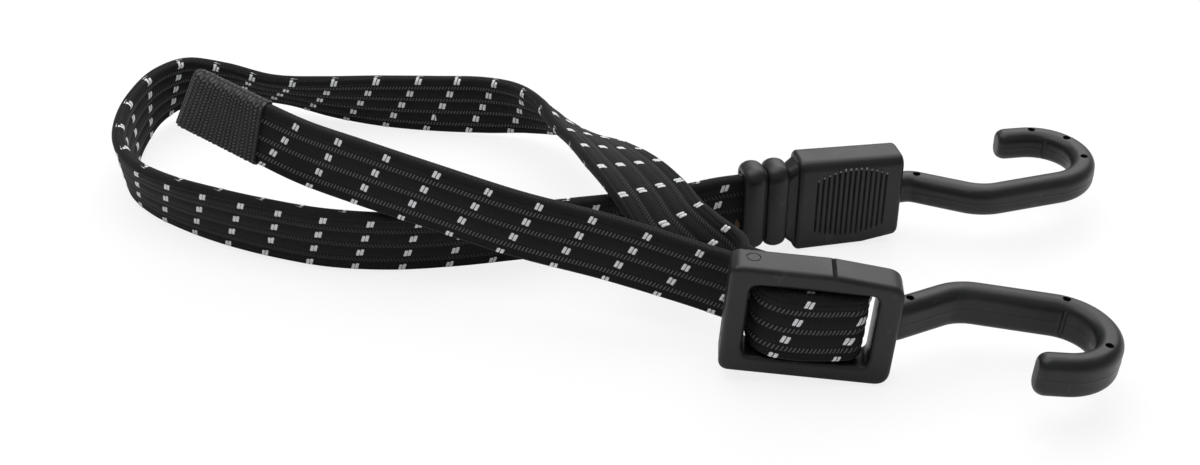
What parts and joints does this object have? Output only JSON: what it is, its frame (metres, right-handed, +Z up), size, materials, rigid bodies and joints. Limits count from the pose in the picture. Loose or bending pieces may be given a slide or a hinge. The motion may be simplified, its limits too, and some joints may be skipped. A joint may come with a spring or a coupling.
{
  "type": "bungee cord",
  "caption": "Flat elastic strap with a wire-cored plastic hook moulded on one end, a hooked slide adjuster on the other and a free tail with a tape tab, lying in a loose loop.",
  "frame": {"origin": "middle of the flat foot under the fixed end's housing, on the floor", "axes": "+Z up; +X to the right in the picture, towards both hooks; +Y away from the camera"},
  "size_m": [0.2924, 0.1646, 0.0523],
  "materials": {
    "moulded_plastic": "satin, finely textured",
    "wire_steel": "drawn",
    "elastic_webbing": "ribbed weave with white flecks",
    "woven_tape": "coarse plain weave"
  },
  "bodies": {
    "fixed_end": {"fixed_housing": "moulded_plastic", "fixed_hook_cover": "moulded_plastic", "fixed_hook_wire": "wire_steel", "strap_anchor": "elastic_webbing", "strap_crimp": "wire_steel", "strap_fixed_run": "elastic_webbing"},
    "strap_turn": {"strap_loop": "elastic_webbing"},
    "adjuster": {"adjuster_frame": "moulded_plastic", "adjuster_hook_wire": "wire_steel", "strap_bar_wrap": "elastic_webbing", "strap_return_run": "elastic_webbing"},
    "tail_end": {"strap_tail": "elastic_webbing", "tail_tab": "woven_tape"}
  },
  "joints": [
    {"name": "strap_stretch", "type": "slide", "parent": "fixed_end", "child": "strap_turn", "axis": [-1, 0, 0], "range_m": [0, 0.1], "stiffness_N_per_m": 250, "deforming": ["strap_fixed_run"]},
    {"name": "adjuster_slide", "type": "slide", "parent": "strap_turn", "child": "adjuster", "axis": [1, 0, 0], "range_m": [-0.03, 0.03], "deforming": ["strap_return_run"]},
    {"name": "tail_feed", "type": "slide", "parent": "adjuster", "child": "tail_end", "axis": [-0.9195, 0.3848, 0.08], "range_m": [-0.03, 0.03], "deforming": ["strap_tail"]}
  ],
  "couplings": [
    {"joint": "tail_feed", "follows": "adjuster_slide", "ratio": -1}
  ]
}
